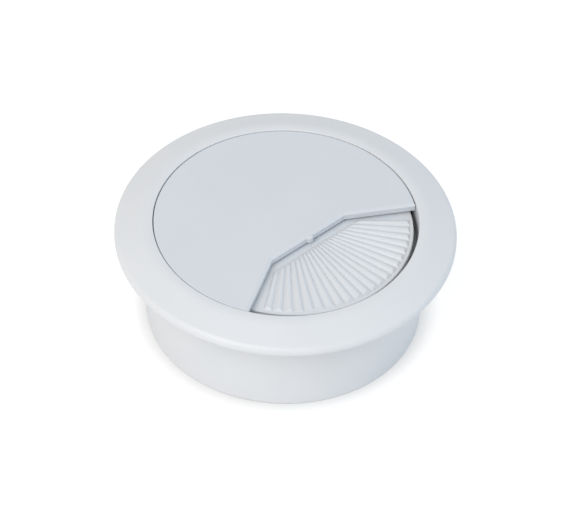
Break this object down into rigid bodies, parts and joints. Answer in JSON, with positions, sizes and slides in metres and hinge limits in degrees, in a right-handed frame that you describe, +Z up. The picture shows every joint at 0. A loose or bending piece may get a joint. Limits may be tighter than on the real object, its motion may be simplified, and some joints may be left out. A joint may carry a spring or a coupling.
{
  "type": "cable grommet",
  "caption": "Round desk cable grommet: flanged sleeve liner, flat notched cap that turns in it, and a ribbed fan shutter that swings under the cap to open or close the notch.",
  "frame": {"origin": "on the liner's axis, in the plane where the flange sits on the desk top", "axes": "+Z up out of the desk along the axis; the notch and the closed shutter face -Y"},
  "size_m": [0.074, 0.074, 0.0259],
  "materials": {
    "liner_plastic": "light cool grey moulded plastic, satin",
    "cap_plastic": "light cool grey moulded plastic, fine satin grain",
    "shutter_plastic": "light cool grey moulded plastic, satin"
  },
  "bodies": {
    "liner": {"liner": "liner_plastic"},
    "cap": {"cap": "cap_plastic"},
    "shutter": {"shutter": "shutter_plastic"}
  },
  "joints": [
    {"name": "cap_swivel", "type": "hinge", "parent": "liner", "child": "cap", "pos_m": [0, 0, 0.0036], "axis": [0, 0, 1], "continuous": true},
    {"name": "shutter_swivel", "type": "hinge", "parent": "cap", "child": "shutter", "pos_m": [0, 0, 0.002], "axis": [0, 0, 1], "range_deg": [0, 124]}
  ]
}
